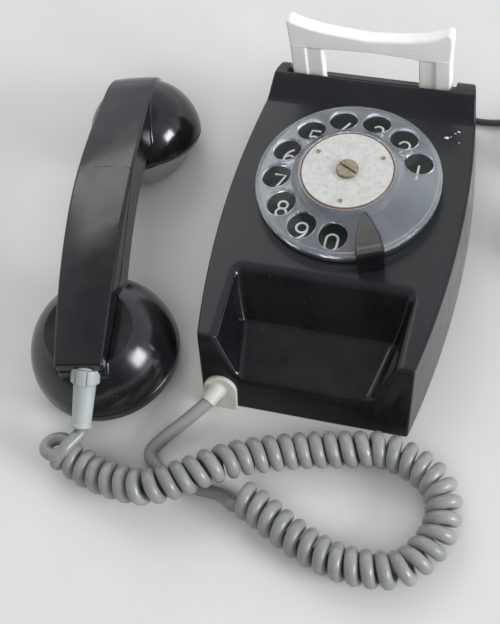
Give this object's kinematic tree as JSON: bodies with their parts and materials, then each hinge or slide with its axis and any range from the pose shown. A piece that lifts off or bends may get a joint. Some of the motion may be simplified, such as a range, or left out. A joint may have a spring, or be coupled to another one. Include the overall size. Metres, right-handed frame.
{
  "type": "rotary wall telephone",
  "caption": "Compact black rotary wall telephone with clear finger wheel, off-white cradle, pocket for the mouth end, handset and curly cord.",
  "frame": {"origin": "on the dial's axis in the plane of the wall side, midway between the two wall screw holes", "axes": "+X to the right across the telephone seen from its face, +Y towards its top end, +Z out of the face; stored lying on its back"},
  "size_m": [0.2452, 0.2422, 0.073],
  "materials": {
    "black_plastic": "glossy moulded phenolic black with light wear",
    "clear_plastic": "clear acrylic, polished, slightly scratched",
    "black_plate": "black dial plate",
    "card_grey": "speckled grey number card",
    "cream_nylon": "off-white nylon",
    "grey_pvc": "grey flexible cord jacket",
    "grey_boot": "light grey strain relief",
    "beige_gland": "off-white moulded gland",
    "dark_cord": "dark grey line cord jacket",
    "steel": "plain steel",
    "zinc_plate": "stamped plate",
    "brass": "turned brass, dulled",
    "spring_steel": "blued spring steel",
    "fibre_board": "green circuit board",
    "brown_bakelite": "brown insulating block",
    "copper_coil": "wound coil with varnished tape",
    "blue_can": "capacitor sleeve",
    "red_cam": "red insulating cam",
    "bell_metal": "nickelled bell metal"
  },
  "bodies": {
    "telephone": {"housing": "black_plastic", "base_plate": "zinc_plate", "housing_screw": "steel", "number_plate": "black_plate", "dial_frame": "zinc_plate", "dial_pillars": "brass", "dial_back_plate": "zinc_plate", "finger_stop": "black_plastic", "spring_cup": "steel", "main_spring": "spring_steel", "governor_drum": "brass", "contact_block": "brown_bakelite", "pulse_contacts": "brass", "hook_bracket": "steel", "hook_pin": "steel", "switch_block": "brown_bakelite", "switch_contacts": "brass", "circuit_board": "fibre_board", "transformer": "copper_coil", "capacitor": "blue_can", "terminal_block": "cream_nylon", "terminal_screws": "brass", "ringer_coil": "copper_coil", "ringer_yoke": "steel", "gongs": "bell_metal", "gong_screws": "steel", "cord_gland": "beige_gland", "line_gland": "black_plate", "handset_cord": "grey_pvc", "handset_cord_lead": "grey_pvc", "line_cord": "dark_cord", "line_coil": "dark_cord", "coil_tie": "black_plate", "line_plug": "beige_gland", "plug_pins": "brass"},
    "dial": {"finger_wheel": "clear_plastic", "number_card": "card_grey", "card_rivets": "brass", "wheel_screw": "brass", "dial_shaft": "steel", "drive_gear": "brass"},
    "idler": {"idler_arbor": "steel", "idler_pinion": "brass", "crown_gear": "brass", "pulse_cam": "red_cam"},
    "governor": {"governor_spindle": "steel", "governor_weights": "brass"},
    "hook": {"hook_cradle": "cream_nylon", "hook_arm": "steel"},
    "plunger": {"switch_plunger": "cream_nylon"},
    "ringer_clapper": {"clapper": "steel"},
    "handset": {"handset_shell": "black_plastic", "handle_cover": "black_plastic", "ear_cap": "black_plastic", "mouth_cap": "black_plastic", "receiver_capsule": "zinc_plate", "microphone_capsule": "zinc_plate", "handset_gland": "grey_boot"}
  },
  "joints": [
    {"name": "dial_turn", "type": "hinge", "parent": "telephone", "child": "dial", "pos_m": [0, 0, 0.04], "axis": [0, 0, 1], "range_deg": [-332, 0], "stiffness_Nm_per_rad": 0.004, "springref_deg": 34.38},
    {"name": "idler_spin", "type": "hinge", "parent": "telephone", "child": "idler", "pos_m": [0, 0.024, 0.02], "axis": [0, 0, 1], "range_deg": [-2, 1000]},
    {"name": "governor_spin", "type": "hinge", "parent": "telephone", "child": "governor", "pos_m": [-0.01292, 0.0193, 0.02], "axis": [0, 0, 1], "range_deg": [-4000, 8]},
    {"name": "hook_tilt", "type": "hinge", "parent": "telephone", "child": "hook", "pos_m": [0, 0.057, 0.022], "axis": [1, 0, 0], "range_deg": [0, 4], "stiffness_Nm_per_rad": 0.8, "springref_deg": -4.58},
    {"name": "plunger_push", "type": "slide", "parent": "telephone", "child": "plunger", "axis": [0, 0, -1], "range_m": [0, 0.00095]},
    {"name": "clapper_swing", "type": "hinge", "parent": "telephone", "child": "ringer_clapper", "pos_m": [0, -0.0598, 0.008], "axis": [0, 0, 1], "range_deg": [-3.5, 3.5], "stiffness_Nm_per_rad": 0.001},
    {"name": "handset_lift", "type": "slide", "parent": "telephone", "child": "handset", "axis": [0, 0, 1], "range_m": [0, 0.12]}
  ],
  "couplings": [
    {"joint": "idler_spin", "follows": "dial_turn", "ratio": -3},
    {"joint": "governor_spin", "follows": "dial_turn", "ratio": 12},
    {"joint": "plunger_push", "follows": "hook_tilt", "m_per_rad": 0.013}
  ]
}
